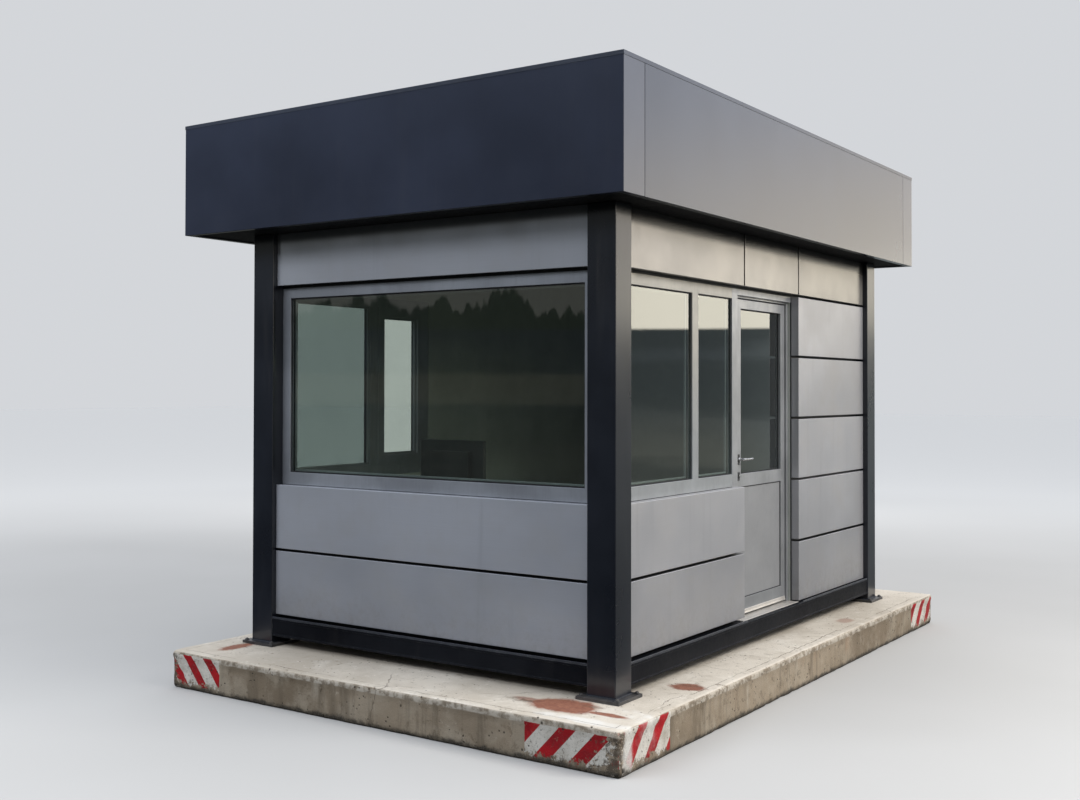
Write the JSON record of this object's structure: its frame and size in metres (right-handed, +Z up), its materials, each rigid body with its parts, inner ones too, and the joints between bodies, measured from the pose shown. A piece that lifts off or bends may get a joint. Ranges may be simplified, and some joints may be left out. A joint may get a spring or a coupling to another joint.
{
  "type": "security guard booth",
  "caption": "Flat-roofed cabin with silver tray cladding, dark corner posts, a deep overhanging roof band, wide windows, a glazed side door and a low concrete island.",
  "frame": {"origin": "bottom centre of the whole object's box, on the ground under the concrete island", "axes": "+Z up, -Y towards the front with the widest window, +X towards the door side"},
  "size_m": [3.312, 5.175, 3.583],
  "materials": {
    "concrete": "weathered cast concrete, stained, with worn red and white corner stripes",
    "post_paint": "anthracite satin paint, dusty at the foot",
    "plate_paint": "anthracite paint, dusty",
    "beam_paint": "anthracite satin paint",
    "floor_covering": "dark matt floor covering",
    "wall_lining": "light grey coated sheet",
    "front_cladding": "silver metallic paint, satin",
    "side_cladding": "silver metallic paint, satin",
    "frame_aluminium": "satin silver powder coat",
    "window_glass": "tinted double glazing",
    "threshold_aluminium": "mill finish, scuffed",
    "door_aluminium": "satin silver powder coat",
    "door_sheet": "silver metallic sheet",
    "lever_steel": "brushed stainless steel",
    "lock_dark": "dark escutcheon",
    "hinge_metal": "satin",
    "ceiling_white": "off-white coated sheet",
    "soffit_paint": "dark grey coated sheet",
    "roof_membrane": "grey roofing membrane",
    "band_dark": "anthracite composite sheet, smooth",
    "band_side": "grey composite sheet, smooth and reflective",
    "coping_dark": "anthracite folded sheet",
    "desk_board": "laminated board",
    "monitor_plastic": "black, matt"
  },
  "bodies": {
    "booth": {"concrete_island": "concrete", "corner_posts": "post_paint", "base_plates": "plate_paint", "sill_beams": "beam_paint", "floor_deck": "floor_covering", "front_wall_lower": "wall_lining", "front_wall_upper": "wall_lining", "right_wall_lower": "wall_lining", "right_wall_upper": "wall_lining", "right_wall_rear": "wall_lining", "left_wall_lower": "wall_lining", "left_wall_upper": "wall_lining", "left_wall_rear": "wall_lining", "back_wall": "wall_lining", "front_panels": "front_cladding", "right_panels": "side_cladding", "left_panels": "side_cladding", "back_panels": "front_cladding", "front_window_frame": "frame_aluminium", "front_window_glass": "window_glass", "right_window_frame": "frame_aluminium", "right_window_glass": "window_glass", "left_window_frame": "frame_aluminium", "left_window_sash": "frame_aluminium", "left_window_glass": "window_glass", "door_frame": "frame_aluminium", "door_threshold": "threshold_aluminium", "hinge_frame_halves": "hinge_metal", "ceiling_panel": "ceiling_white", "soffit_panel": "soffit_paint", "roof_deck": "roof_membrane", "roof_band_front": "band_dark", "roof_band_back": "band_dark", "roof_band_right": "band_side", "roof_band_left": "band_side", "roof_coping": "coping_dark", "desk": "desk_board", "monitor": "monitor_plastic"},
    "door": {"door_leaf": "door_aluminium", "door_glass": "window_glass", "door_panel": "door_sheet", "door_lever": "lever_steel", "door_lock": "lock_dark", "hinge_door_halves": "hinge_metal"}
  },
  "joints": [
    {"name": "door_hinge", "type": "hinge", "parent": "booth", "child": "door", "pos_m": [1.193, 0.5275, 0.637], "axis": [0, 0, -1], "range_deg": [0, 90]}
  ]
}
